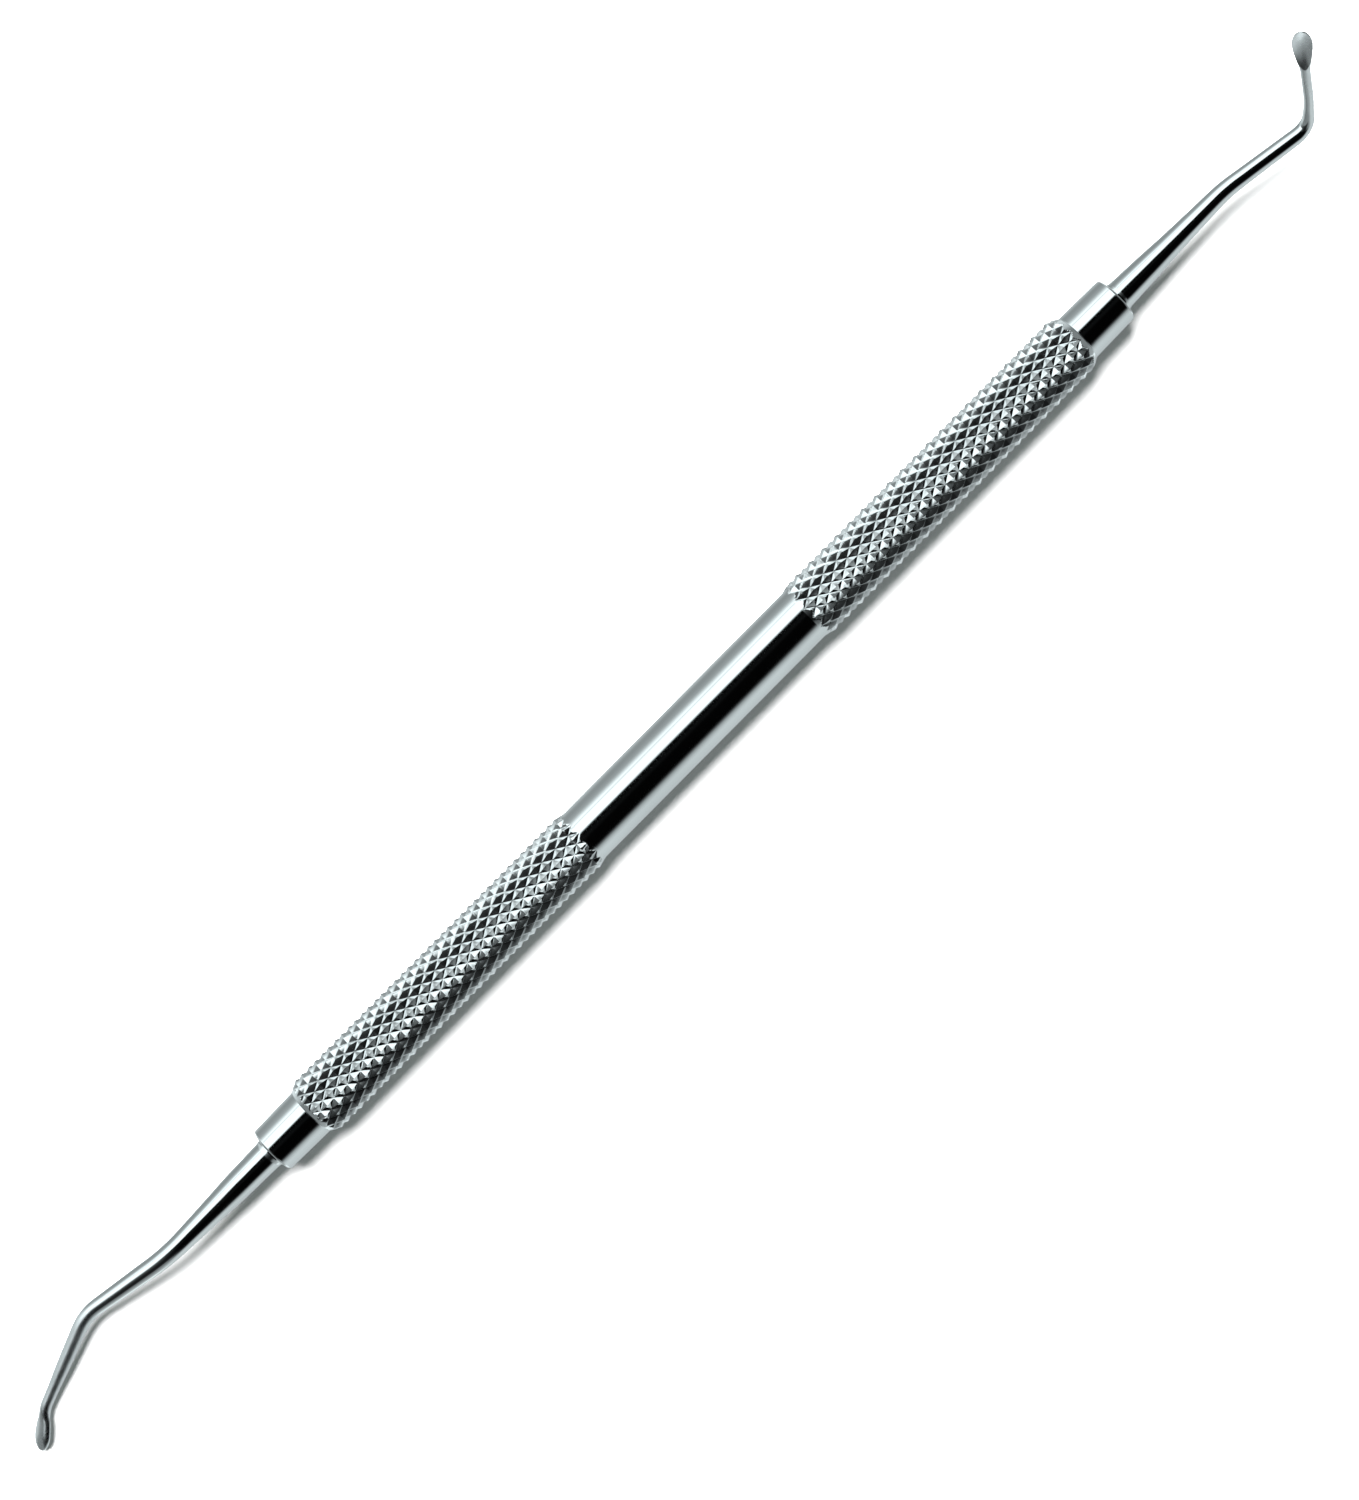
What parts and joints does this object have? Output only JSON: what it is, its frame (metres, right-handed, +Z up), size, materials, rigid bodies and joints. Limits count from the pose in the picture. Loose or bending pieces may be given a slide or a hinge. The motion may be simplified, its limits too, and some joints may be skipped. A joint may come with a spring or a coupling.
{
  "type": "double-ended dental hand instrument",
  "caption": "Slim round steel hand instrument: hollow handle with diamond-knurled grip bands, end collars, bent tapered shanks and small spoon blades.",
  "frame": {"origin": "middle of the handle, on its axis", "axes": "+X along the handle towards working end A, whose spoon stands up off the table; +Z up when the instrument lies on a table; +Y across the handle, on the side that working end A leans to"},
  "size_m": [0.1681, 0.0097, 0.0124],
  "materials": {
    "handle_steel": "mirror-polished stainless steel, knurled bands",
    "collar_steel": "mirror-polished stainless steel",
    "blade_steel": "mirror-polished stainless steel"
  },
  "bodies": {
    "root": {"handle_tube": "handle_steel", "end_collar_a": "collar_steel", "end_collar_b": "collar_steel", "working_end_a": "blade_steel", "working_end_b": "blade_steel"}
  },
  "joints": []
}
